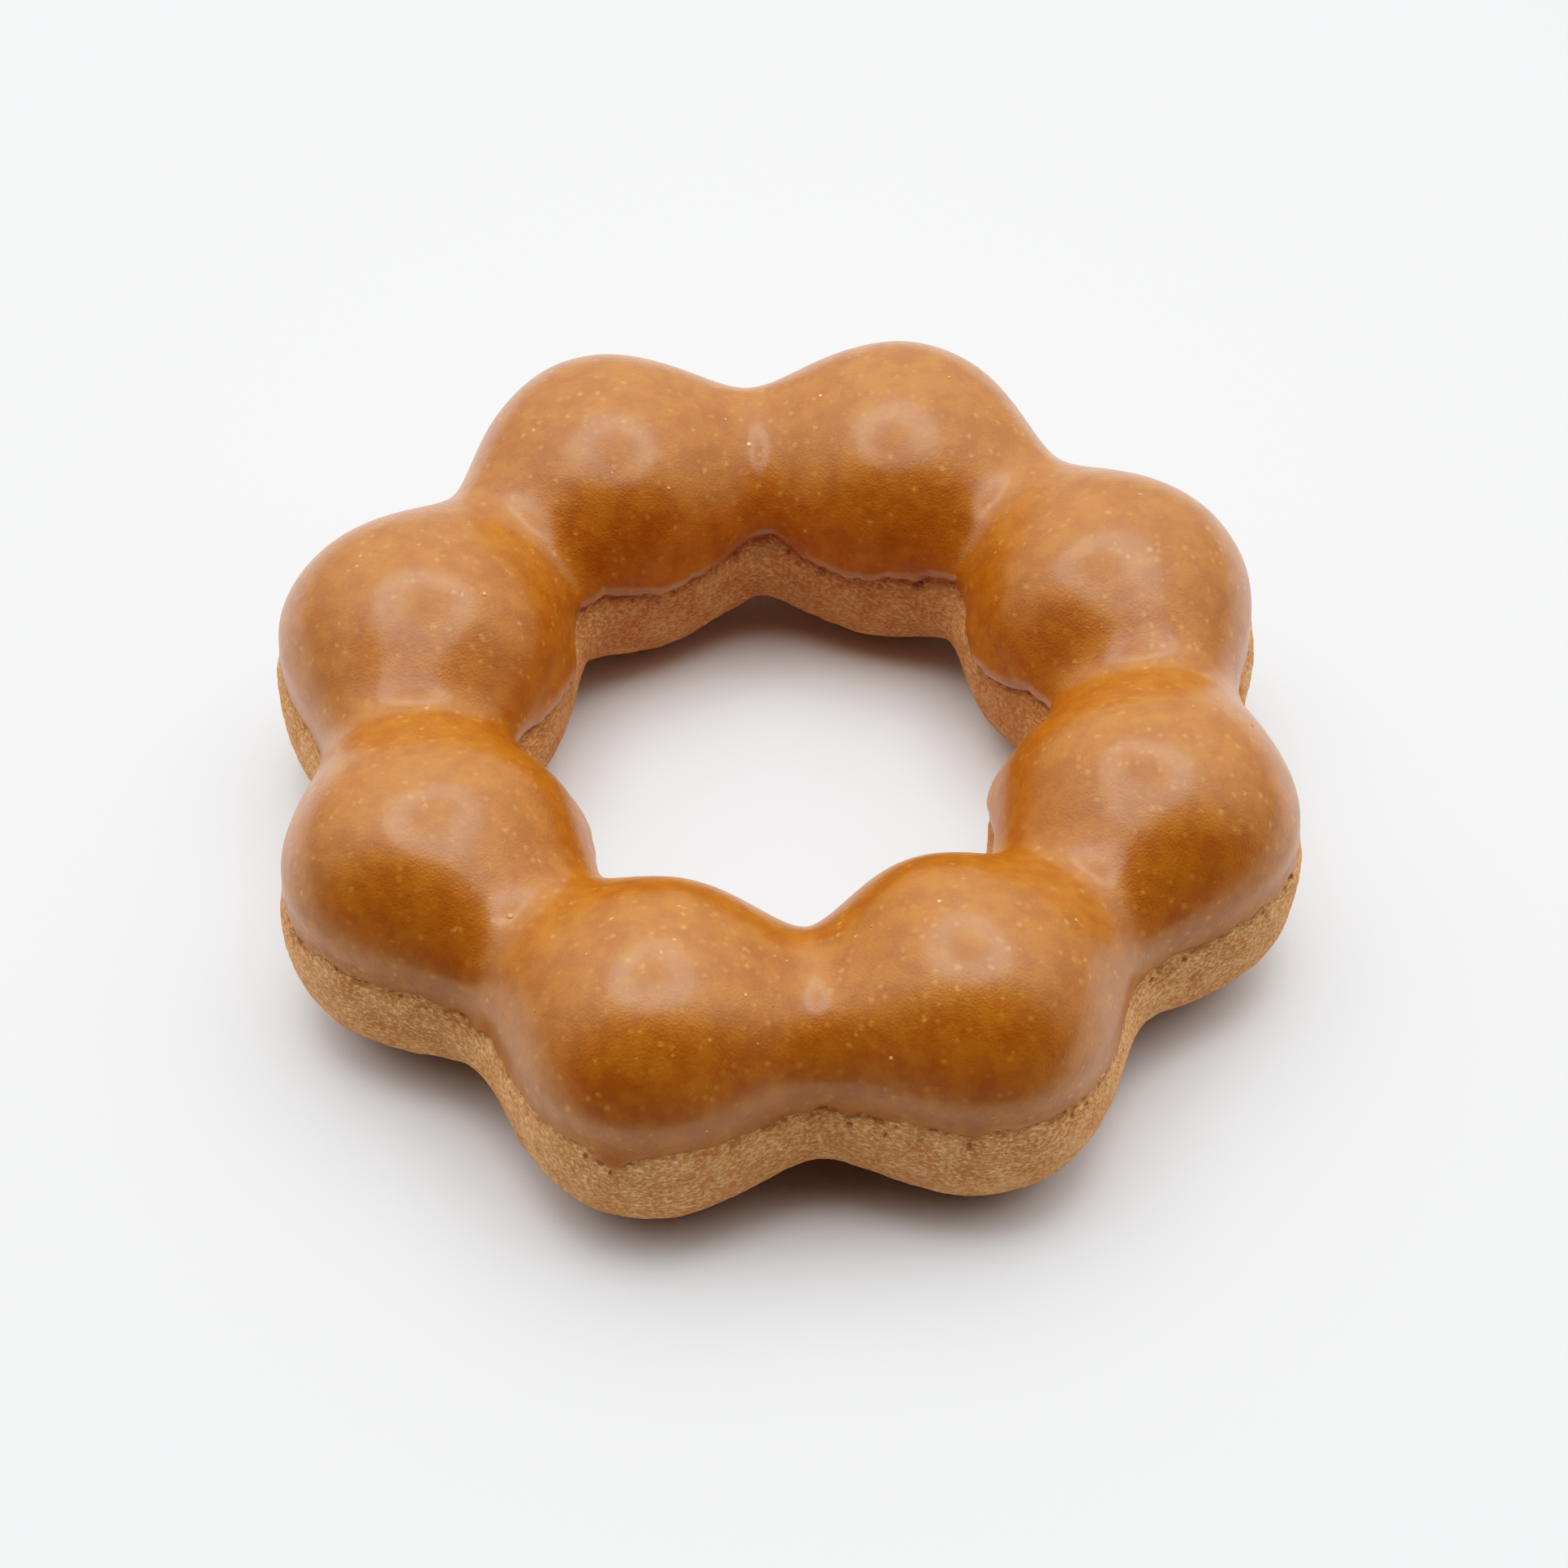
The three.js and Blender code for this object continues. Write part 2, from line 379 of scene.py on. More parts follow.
def scattered_spots(tree, vector, scale, radius, share):
    """Round spots in random cells, 1 at a spot's middle and 0 at its rim, and a random value for each.
    share is the share of the cells that have a spot."""
    node = add_node(tree, "ShaderNodeTexVoronoi", {"Vector": vector, "Scale": scale})
    reach = Formula(tree, node.outputs["Distance"])
    pick = split(tree, node.outputs["Color"])
    kept = pick[0] < share
    return reach.step_between(radius, 0.0) * kept, pick[1]


# Geometry trees

def new_tree(name, groups, counts):
    """A geometry tree with one input for each size in the property groups and for each count."""
    tree = bpy.data.node_groups.new(name, "GeometryNodeTree")
    tree.interface.new_socket("Geometry", in_out="INPUT", socket_type="NodeSocketGeometry")
    tree.interface.new_socket("Geometry", in_out="OUTPUT", socket_type="NodeSocketGeometry")
    source = tree.nodes.new("NodeGroupInput")
    sizes = {"geometry": source.outputs[0]}
    for group in groups:
        for key, prop in group.bl_rna.properties.items():
            if prop.type in {"FLOAT", "INT"}:
                kind = "NodeSocketFloat" if prop.type == "FLOAT" else "NodeSocketInt"
                socket = tree.interface.new_socket(prop.name, in_out="INPUT", socket_type=kind)
                socket.default_value = getattr(group, key)
                sizes[key] = Formula(tree, source.outputs[prop.name])
    for key, count in counts.items():
        label = key.replace("_", " ").capitalize()
        tree.interface.new_socket(label, in_out="INPUT", socket_type="NodeSocketInt").default_value = count
        sizes[key] = Formula(tree, source.outputs[label])
    return tree, sizes


def end_tree(tree, geometry, material):
    """Closes a tree: smooth shading, real instances, the material, and the output."""
    smooth = add_node(tree, "GeometryNodeSetShadeSmooth", {"Geometry": geometry})
    real = add_node(tree, "GeometryNodeRealizeInstances", {"Geometry": smooth.outputs[0]})
    dressed = add_node(tree, "GeometryNodeSetMaterial", {"Geometry": real.outputs[0], "Material": material})
    add_node(tree, "NodeGroupOutput", {0: dressed.outputs[0]})


def grow_piece(name, mesh, tree):
    """Runs a tree on a mesh and returns an object with the plain mesh that comes out."""
    piece = bpy.data.objects.new(name, mesh)
    bpy.context.scene.collection.objects.link(piece)
    modifier = piece.modifiers.new(tree.name, "NODES")
    modifier.node_group = tree
    for item in tree.interface.items_tree:
        if item.in_out == "INPUT" and item.socket_type != "NodeSocketGeometry":
            modifier[item.identifier] = item.default_value
    ready = piece.evaluated_get(bpy.context.evaluated_depsgraph_get())
    grown = bpy.data.meshes.new_from_object(ready)
    piece.modifiers.remove(modifier)
    piece.data = grown
    grown.name = name
    bpy.data.meshes.remove(mesh)
    return piece


def ball_plan():
    """A mesh with one point for each ball, which holds its angles, plumpness and push as attributes."""
    spacing = 360 / len(BALLS)
    middles = [FIRST_BALL_ANGLE + i * spacing + ball["turn"] for i, ball in enumerate(BALLS)]
    after = [(a + b) / 2 for a, b in zip(middles, middles[1:] + [middles[0] + 360])]
    before = [after[-1] - 360] + after[:-1]
    columns = {
        "middle": [math.radians(a) for a in middles],
        "neck_before": [math.radians(a) for a in before],
        "neck_after": [math.radians(a) for a in after],
        "plump": [ball["plump"] for ball in BALLS],
        "push": [ball["push"] * MM for ball in BALLS],
    }
    mesh = bpy.data.meshes.new("ball_plan")
    mesh.from_pydata([(math.cos(a), math.sin(a), 0) for a in columns["middle"]], [], [])
    for name, values in columns.items():
        mesh.attributes.new(name, "FLOAT", "POINT").data.foreach_set("value", values)
    return mesh


def ring_section(tree, sizes, station):
    """The dough's section at a station, which counts balls round the ring from the first one's near neck."""
    index = station.math("FLOOR").at_most(len(BALLS) - 1)
    local = (station - index) * 2 - 1

    def of_ball(name):
        sample = add_node(tree, "GeometryNodeSampleIndex",
                          {"Geometry": sizes["geometry"], "Value": stored(tree, name), "Index": index})
        return Formula(tree, sample.outputs[0])

    middle = of_ball("middle")
    half_span = choose(local > 0, of_ball("neck_after") - middle, middle - of_ball("neck_before"))
    rise = (abs(local) * (math.pi / 2)).math("COSINE")

    def swell(softness):
        squared = softness * softness
        return ((rise * rise + squared).math("SQRT") - softness) / ((squared + 1).math("SQRT") - softness)

    def between(neck, ball, softness):
        return neck + (ball - neck) * swell(softness)

    plump = of_ball("plump")
    middle_radius = (sizes["outer_ball"] + sizes["inner_ball"]) / 2 + of_ball("push")
    half_width = (sizes["outer_ball"] - sizes["inner_ball"]) / 2 * plump
    outer = between(sizes["outer_neck"], middle_radius + half_width, sizes["soft_outer"])
    inner = between(sizes["inner_neck"], middle_radius - half_width, sizes["soft_inner"])
    crest = between(sizes["crest_neck"], sizes["crest_ball"], sizes["soft_crown"])
    return {
        "angle": middle + half_span * local,
        "outer": outer,
        "inner": inner,
        "crest": inner + (outer - inner) * crest,
        "crown": between(sizes["crown_neck"], sizes["crown_ball"] * plump, sizes["soft_crown"]),
        "widest": between(sizes["widest_neck"], sizes["widest_ball"], sizes["soft_widest"]),
        "under": between(sizes["under_neck"], sizes["under_ball"], sizes["soft_under"]),
        "outer_edge": between(sizes["outer_edge_neck"], sizes["outer_edge_ball"], sizes["soft_outer"]),
        "inner_edge": between(sizes["inner_edge_neck"], sizes["inner_edge_ball"], sizes["soft_inner"]),
    }


def ring_point(tree, sizes, section, slope, grow):
    """A point of the ring: slope 0 faces outward, a quarter turn is the crown, and half a turn the hole."""
    across = slope.math("COSINE")
    upward = slope.math("SINE")
    power = 2 / choose(upward > 0, sizes["upper_fullness"], sizes["lower_fullness"])
    shoulder = sizes["shoulder_depth"] * upward.step_between(0.0, sizes["shoulder_rise"])
    crest, widest = section["crest"], section["widest"]
    side_reach = choose(across > 0, section["outer"] - crest, crest - section["inner"]) - shoulder + grow
    level_reach = choose(upward > 0, section["crown"] - widest, widest - section["under"]) + grow
    radius = crest + across.math("SIGN") * abs(across) ** power * side_reach
    height = widest + upward.math("SIGN") * abs(upward) ** power * level_reach
    x = radius * section["angle"].math("COSINE") + sizes["centre_x"]
    y = radius * section["angle"].math("SINE") + sizes["centre_y"]
    return join(tree, x, y, height.at_least(0.0))


def icing_edges(tree, sizes, section):
    """Heights of the icing's outer edge and of its edge in the hole, with their wander and runs."""
    around = {"x": section["angle"].math("COSINE"), "y": section["angle"].math("SINE")}

    def wander(radius, level):
        spot = join(tree, around["x"] * radius, around["y"] * radius, level)
        strays = noise(tree, spot, 1 / sizes["edge_wander_size"], detail=2.0) * sizes["edge_wander"]
        tears = noise(tree, spot, 1 / sizes["edge_tear_size"], detail=1.0) * sizes["edge_tear"]
        return strays + tears

    run_down = 0.0
    for run in ICING_RUNS:
        away = (section["angle"] - math.radians(run["angle"])).math("WRAP", math.pi, -math.pi)
        share = away / math.radians(run["half_width"])
        run_down = (-(share * share)).math("EXPONENT") * (run["drop"] * MM) + run_down
    outer = section["outer_edge"] + wander(sizes["outer_ball"], 0.0) - run_down
    inner = section["inner_edge"] + wander(sizes["inner_ball"], 0.1)
    return outer, inner


def ring_grid(tree, along_steps, section_steps):
    """A grid to be bent into the ring: its station round the ring, and its share round the section."""
    grid = add_node(tree, "GeometryNodeMeshGrid", {
        "Size X": 1.0, "Size Y": 1.0, "Vertices X": along_steps + 1, "Vertices Y": section_steps + 1})
    place = split(tree, add_node(tree, "GeometryNodeInputPosition").outputs[0])
    return grid.outputs[0], (place[0] + 0.5) * len(BALLS), place[1] + 0.5


def bend(tree, grid, position):
    """Moves the grid to the ring and welds its two seams."""
    bent = add_node(tree, "GeometryNodeSetPosition", {"Geometry": grid, "Position": position})
    weld = add_node(tree, "GeometryNodeMergeByDistance", {"Geometry": bent.outputs[0], "Distance": 1e-6})
    return weld.outputs[0]


def push_out(tree, geometry, height):
    """Moves each point along the surface's normal, and none below the table."""
    normal = add_node(tree, "GeometryNodeInputNormal").outputs[0]
    offset = add_node(tree, "ShaderNodeVectorMath", {0: normal, "Scale": height}, operation="SCALE")
    place = add_node(tree, "GeometryNodeInputPosition").outputs[0]
    moved = add_node(tree, "ShaderNodeVectorMath", {0: place, 1: offset.outputs[0]}, operation="ADD")
    x, y, z = split(tree, moved.outputs[0])
    position = join(tree, x, y, z.at_least(0.0))
    return add_node(tree, "GeometryNodeSetPosition", {"Geometry": geometry, "Position": position}).outputs[0]


def store(tree, geometry, name, value):
    node = add_node(tree, "GeometryNodeStoreNamedAttribute",
                    {"Geometry": geometry, "Name": name, "Value": value}, data_type="FLOAT", domain="POINT")
    return node.outputs[0]


def stored(tree, name):
    node = add_node(tree, "GeometryNodeInputNamedAttribute", {"Name": name}, data_type="FLOAT")
    return Formula(tree, node.outputs[0])


def dough_tree(scene, material):
    """The dough ring, with blisters, wrinkles along the ring, and pits under the icing's edge."""
    counts = {"along_steps": 1024, "section_steps": 96}
    tree, sizes = new_tree("Dough ring", [scene.doughnut_ring, scene.doughnut_relief], counts)
    grid, station, share = ring_grid(tree, sizes["along_steps"], sizes["section_steps"])
    section = ring_section(tree, sizes, station)
    # The steps crowd on the two side walls, which show, and spread under the icing.
    turn = share * FULL_TURN
    slope = turn - ((turn * 2).math("SINE") + turn.math("COSINE") - 1) * WALL_CROWDING
    outer_edge, inner_edge = icing_edges(tree, sizes, section)
    edge = choose(slope.math("COSINE") > 0, outer_edge, inner_edge)
    grid = store(tree, grid, "edge_height", edge)
    ring = bend(tree, grid, ring_point(tree, sizes, section, slope, 0.0))

    place = add_node(tree, "GeometryNodeInputPosition").outputs[0]
    lumps = noise(tree, place, 1 / sizes["lump_size"], detail=1.0) * sizes["lump_depth"]
    stretched = scaled(tree, place, join(tree, 1.0, 1.0, sizes["wrinkle_stretch"]))
    wrinkles = noise(tree, stretched, 1 / sizes["wrinkle_size"], detail=3.0, roughness=0.65)
    below = stored(tree, "edge_height") - split(tree, place)[2]
    band = below.step_between(sizes["pit_band"], sizes["pit_band"] * 0.5)
    ring = store(tree, ring, "pit_band", band * below.step_between(-sizes["pit_tuck"], 0.0))
    spots = scattered_spots(tree, stretched, 1 / sizes["pit_size"], radius=0.5, share=0.55)[0]
    ring = store(tree, ring, "pit", spots * stored(tree, "pit_band"))
    # Wrinkles and pits fade out under the icing, and only the slow lumps stay.
    open_air = below.step_between(*RELIEF_FADE)
    fine = wrinkles * sizes["wrinkle_depth"] - stored(tree, "pit") * sizes["pit_depth"]
    relief = lumps + fine * open_air
    end_tree(tree, push_out(tree, ring, relief), material)
    return tree


def icing_tree(scene, material):
    """The icing: a closed skin with a rounded lip, whose hidden face lies just inside the dough."""
    counts = {"along_steps": 1024, "outside_steps": 80, "hidden_steps": 14}
    tree, sizes = new_tree("Icing", [scene.doughnut_ring, scene.doughnut_icing], counts)
    section_steps = sizes["outside_steps"] + sizes["hidden_steps"]
    grid, station, share = ring_grid(tree, sizes["along_steps"], section_steps)
    section = ring_section(tree, sizes, station)
    outer_height, inner_height = icing_edges(tree, sizes, section)

    def slope_at(height):
        level = (height - section["widest"]) / (section["crown"] - section["widest"])
        return (level ** (sizes["upper_fullness"] / 2)).math("ARCSINE")

    outer_slope = slope_at(outer_height)
    inner_slope = math.pi - slope_at(inner_height)
    outside_share = sizes["outside_steps"] / section_steps
    # Half a step of slack keeps the row that both faces share on the outside.
    on_outside = share < outside_share + 0.5 / section_steps
    along = choose(on_outside, share / outside_share, (1 - share) / (1 - outside_share))
    # The steps crowd towards both lips.
    crowded = along - (along * FULL_TURN).math("SINE") * (LIP_CROWDING / FULL_TURN)
    slope = outer_slope + (inner_slope - outer_slope) * crowded
    mean_radius = (section["outer"] - section["inner"]) / 2
    distance = (slope - outer_slope).at_most(inner_slope - slope) * mean_radius
    short = 1 - (distance / sizes["lip_width"]).at_most(1.0)
    lip = (1 - short * short).math("SQRT")
    # The coat fills out from the edge's level, so its short strays and runs stay thin. In the hole it
    # ends thicker.
    outer_depth = (slope - slope_at(section["outer_edge"])) * mean_radius
    inner_depth = (math.pi - slope_at(section["inner_edge"]) - slope) * mean_radius
    outer_fill = outer_depth.step_between(-sizes["coat_lead"], sizes["coat_width"])
    inner_fill = inner_depth.step_between(-sizes["hole_coat_lead"], sizes["hole_coat_width"])
    fill = outer_fill.at_most(inner_fill)
    stand = lip * (sizes["lip"] + sizes["bury"]) + fill * (sizes["coat"] - sizes["lip"])
    grid = store(tree, grid, "coat", fill * on_outside)
    grow = stand * on_outside - sizes["bury"]
    skin = bend(tree, grid, ring_point(tree, sizes, section, slope, grow))

    place = add_node(tree, "GeometryNodeInputPosition").outputs[0]
    swell = noise(tree, place, 1 / sizes["swell_size"], detail=1.5) * sizes["swell_depth"]
    end_tree(tree, push_out(tree, skin, swell * stored(tree, "coat")), material)
    return tree


def speck_tree(scene, material):
    """Sugar grains scattered over the icing's outside and half sunk in it."""
    tree, sizes = new_tree("Sugar specks", [scene.doughnut_specks], {})
    scatter = add_node(tree, "GeometryNodeDistributePointsOnFaces", {
        "Mesh": sizes["geometry"], "Selection": stored(tree, "coat") > 0.3,
        "Density": sizes["density"], "Seed": sizes["seed"]})
    grain = add_node(tree, "GeometryNodeMeshUVSphere", {"Segments": 8, "Rings": 5, "Radius": 1.0})
    draw = add_node(tree, "FunctionNodeRandomValue", {"Seed": sizes["seed"] + 1}, data_type="FLOAT")
    size = Formula(tree, draw.outputs[1])
    # Most grains are small: the cube of an even draw.
    radius = sizes["smallest"] + (sizes["largest"] - sizes["smallest"]) * size * size * size
    scale = join(tree, radius, radius, radius * sizes["flatness"])
    placed = add_node(tree, "GeometryNodeInstanceOnPoints", {
        "Points": scatter.outputs["Points"], "Instance": grain.outputs[0],
        "Rotation": scatter.outputs["Rotation"], "Scale": scale})
    tone = add_node(tree, "FunctionNodeRandomValue", {"Seed": sizes["seed"] + 2}, data_type="FLOAT")
    marked = add_node(tree, "GeometryNodeStoreNamedAttribute", {
        "Geometry": placed.outputs[0], "Name": "tone", "Value": Formula(tree, tone.outputs[1])},
        data_type="FLOAT", domain="INSTANCE")
    end_tree(tree, marked.outputs[0], material)
    return tree


# Materials

def effect_group(name, inputs, outputs, fill):
    """A shader node group with a Vector and named float inputs, built once by the function fill."""
    group = bpy.data.node_groups.get(name)
    if group:
        return group
    group = bpy.data.node_groups.new(name, "ShaderNodeTree")
    group.interface.new_socket("Vector", in_out="INPUT", socket_type="NodeSocketVector")
    for label, default in inputs.items():
        socket = group.interface.new_socket(label, in_out="INPUT", socket_type="NodeSocketFloat")
        socket.default_value = default
    for label in outputs:
        group.interface.new_socket(label, in_out="OUTPUT", socket_type="NodeSocketFloat")
    source = group.nodes.new("NodeGroupInput")
    values = {label: Formula(group, source.outputs[label]) for label in inputs}
    results = fill(group, source.outputs["Vector"], values)
    add_node(group, "NodeGroupOutput", results)
    return group


def mottling_group():
    """Cloudy patches, from 0 to 1."""
    def fill(group, vector, values):
        cloud = noise(group, vector, values["Scale"], detail=4.0, roughness=0.6)
        return {"Mask": (cloud * values["Contrast"] + 0.5).step_between(0.0, 1.0)}
    return effect_group("Mottling", {"Scale": 200.0, "Contrast": 1.0}, ["Mask"], fill)


def spots_group():
    """Uneven spots of random strength, from 0 to 1."""
    def fill(group, vector, values):
        stray = add_node(group, "ShaderNodeTexNoise", {"Vector": vector, "Scale": values["Scale"] * 2.5})
        half_cell = 0.5 / values["Scale"]
        shift = add_node(group, "ShaderNodeVectorMath", {0: stray.outputs["Color"], "Scale": half_cell},
                         operation="SCALE")
        bent = add_node(group, "ShaderNodeVectorMath", {0: vector, 1: shift.outputs[0]}, operation="ADD")
        spots, pick = scattered_spots(group, bent.outputs[0], values["Scale"],
                                      values["Radius"], values["Share"])
        return {"Mask": spots * pick * pick}
    return effect_group("Spots", {"Scale": 500.0, "Radius": 0.3, "Share": 0.3}, ["Mask"], fill)


def skin_group():
    """Fine pebbled skin, as a height about 0.5."""
    def fill(group, vector, values):
        pebbles = noise(group, vector, values["Scale"], detail=1.5)
        return {"Height": pebbles * 0.5 + 0.5}
    return effect_group("Fine skin", {"Scale": 3000.0}, ["Height"], fill)


def new_material(name):
    """A material with only a Principled shader, with its node tree and that shader."""
    material = bpy.data.materials.new(name)
    material.use_nodes = True
    tree = material.node_tree
    tree.nodes.clear()
    shader = tree.nodes.new("ShaderNodeBsdfPrincipled")
    add_node(tree, "ShaderNodeOutputMaterial", {"Surface": shader.outputs[0]})
    return material, tree, shader


def use_effect(tree, group, vector, output, **inputs):
    node = add_node(tree, "ShaderNodeGroup", node_tree=group)
    feed(tree, node.inputs["Vector"], vector)
    for name, value in inputs.items():
        feed(tree, node.inputs[name.capitalize()], value)
    return Formula(tree, node.outputs[output])


def mix_colours(tree, factor, first, second):
    """A colour mix. Each side is a colour from the finishes or a socket."""
    node = add_node(tree, "ShaderNodeMix", data_type="RGBA")
    feed(tree, node.inputs[0], factor)
    for port, value in ((node.inputs[6], first), (node.inputs[7], second)):
        feed(tree, port, value if isinstance(value, bpy.types.NodeSocket) else (*value, 1.0))
    return node.outputs[2]


def add_bump(tree, shader, height, strength, distance):
    bump = add_node(tree, "ShaderNodeBump", {"Strength": strength, "Distance": distance})
    feed(tree, bump.inputs["Height"], height)
    tree.links.new(bump.outputs[0], shader.inputs["Normal"])


def shader_attribute(tree, name):
    node = add_node(tree, "ShaderNodeAttribute", attribute_name=name)
    return Formula(tree, node.outputs["Fac"])


def dough_material(colours):
    material, tree, shader = new_material("fried_dough")
    place = add_node(tree, "ShaderNodeTexCoord").outputs["Object"]
    x, y, z = split(tree, place)
    # Threads of dough lie along the ring, so they are squeezed upright.
    squeezed = scaled(tree, place, (1.0, 1.0, 1.6))
    patches = use_effect(tree, mottling_group(), place, "Mask", scale=420.0, contrast=1.3)
    threads = use_effect(tree, mottling_group(), squeezed, "Mask", scale=2500.0, contrast=1.6)
    tan = mix_colours(tree, threads * 0.7 + patches * 0.3, colours.dough_pale, colours.dough_brown)
    # The wall of the hole and the underside are painted darker: painted shade, where the ring shades itself.
    radius = (x * x + y * y).math("SQRT")
    lean = split(tree, add_node(tree, "ShaderNodeNewGeometry").outputs["Normal"])[2]
    hole_shade_mask = radius.step_between(*HOLE_WALL) * colours.hole_shade
    under_shade_mask = lean.step_between(-0.5, -0.95) * colours.under_shade
    tan = mix_colours(tree, hole_shade_mask.at_least(under_shade_mask), tan, colours.shaded_dough)
    # Just under the icing's edge the dough is pitted and torn, and the pits and the crevice under the lip
    # are painted darker: painted shade.
    below = shader_attribute(tree, "edge_height") - z
    torn = use_effect(tree, mottling_group(), squeezed, "Mask", scale=700.0, contrast=2.2)
    crevice_shade = below.step_between(0.6 * MM, 0.05 * MM) * torn * torn * torn * 0.7
    holes = use_effect(tree, spots_group(), place, "Mask", scale=1100.0, radius=0.45, share=0.6)
    pits = (holes * 3).at_most(1.0) * shader_attribute(tree, "pit_band")
    shade_marks = crevice_shade.at_least(shader_attribute(tree, "pit") * 0.5).at_least(pits)
    tan = mix_colours(tree, shade_marks * 0.8, tan, colours.pit_shade)
    tree.links.new(tan, shader.inputs["Base Color"])
    shader.inputs["Roughness"].default_value = colours.dough_roughness
    shader.inputs["Specular IOR Level"].default_value = 0.3
    skin = use_effect(tree, skin_group(), squeezed, "Height", scale=2300.0)
    add_bump(tree, shader, skin - threads - pits, 1.0, 0.13 * MM)
    return material


def icing_material(colours):
    material, tree, shader = new_material("caramel_icing")
    place = add_node(tree, "ShaderNodeTexCoord").outputs["Object"]
    broad = use_effect(tree, mottling_group(), place, "Mask", scale=110.0, contrast=0.9)
    clouds = use_effect(tree, mottling_group(), place, "Mask", scale=480.0, contrast=1.6)
    caramel = mix_colours(tree, broad * 0.3 + clouds * 0.7, colours.icing_gold, colours.icing_deep)
    blotches = use_effect(tree, spots_group(), place, "Mask", scale=120.0, radius=0.16, share=0.3)
    flecks = use_effect(tree, spots_group(), place, "Mask", scale=1250.0, radius=0.5, share=0.55)
    golden = (blotches * 0.45).at_least(flecks * 0.6)
    caramel = mix_colours(tree, golden, caramel, colours.fleck_gold)
    crisp = use_effect(tree, spots_group(), place, "Mask", scale=800.0, radius=0.2, share=0.2)
    caramel = mix_colours(tree, crisp * 0.7, caramel, colours.speck_cream)
    # The small pores are sunk and painted dark: painted shade.
    pores = use_effect(tree, spots_group(), place, "Mask", scale=330.0, radius=0.06, share=0.3)
    caramel = mix_colours(tree, pores, caramel, colours.pore_shade)
    tree.links.new(caramel, shader.inputs["Base Color"])
    # A satin body under a thin, shinier skin of sugar.
    shader.inputs["Roughness"].default_value = colours.icing_roughness
    shader.inputs["Specular IOR Level"].default_value = 0.22
    shader.inputs["Coat Roughness"].default_value = colours.skin_roughness
    # The skin is thin and dull at the lip, and seen along its surface it shines less.
    facing = Formula(tree, add_node(tree, "ShaderNodeLayerWeight", {"Blend": 0.5}).outputs["Facing"])
    dulled = 1 - facing.step_between(0.4, 0.95) * 0.7
    more_shine = colours.skin_shine - colours.lip_shine
    shine = shader_attribute(tree, "coat") * more_shine + colours.lip_shine
    feed(tree, shader.inputs["Coat Weight"], shine * dulled)
    skin = use_effect(tree, skin_group(), place, "Height", scale=4600.0)
    ripple = use_effect(tree, mottling_group(), place, "Mask", scale=330.0, contrast=0.8)
    add_bump(tree, shader, skin + ripple * 0.6 - pores * 2, 0.55, 0.1 * MM)
    return material


def speck_material(colours):
    material, tree, shader = new_material("sugar_specks")
    caramel = mix_colours(tree, shader_attribute(tree, "tone"), colours.speck_cream, colours.icing_gold)
    tree.links.new(caramel, shader.inputs["Base Color"])
    shader.inputs["Roughness"].default_value = 0.4
    return material


def floor_material(colours):
    material, tree, shader = new_material("pale_floor")
    # Painted reflection: to glossy rays alone the pale sheet turns dark in front of the ring, where the tent
    # is open and dark.
    place = split(tree, add_node(tree, "ShaderNodeTexCoord").outputs["Object"])
    reflected = Formula(tree, add_node(tree, "ShaderNodeLightPath").outputs["Is Glossy Ray"])
    front = place[1].step_between(*FRONT_EDGE) * reflected
    sheet = mix_colours(tree, front, colours.floor_pale, colours.dark_front_reflection)
    tree.links.new(sheet, shader.inputs["Base Color"])
    shader.inputs["Roughness"].default_value = 0.9
    shader.inputs["Specular IOR Level"].default_value = 0.1
    return material


# Operators

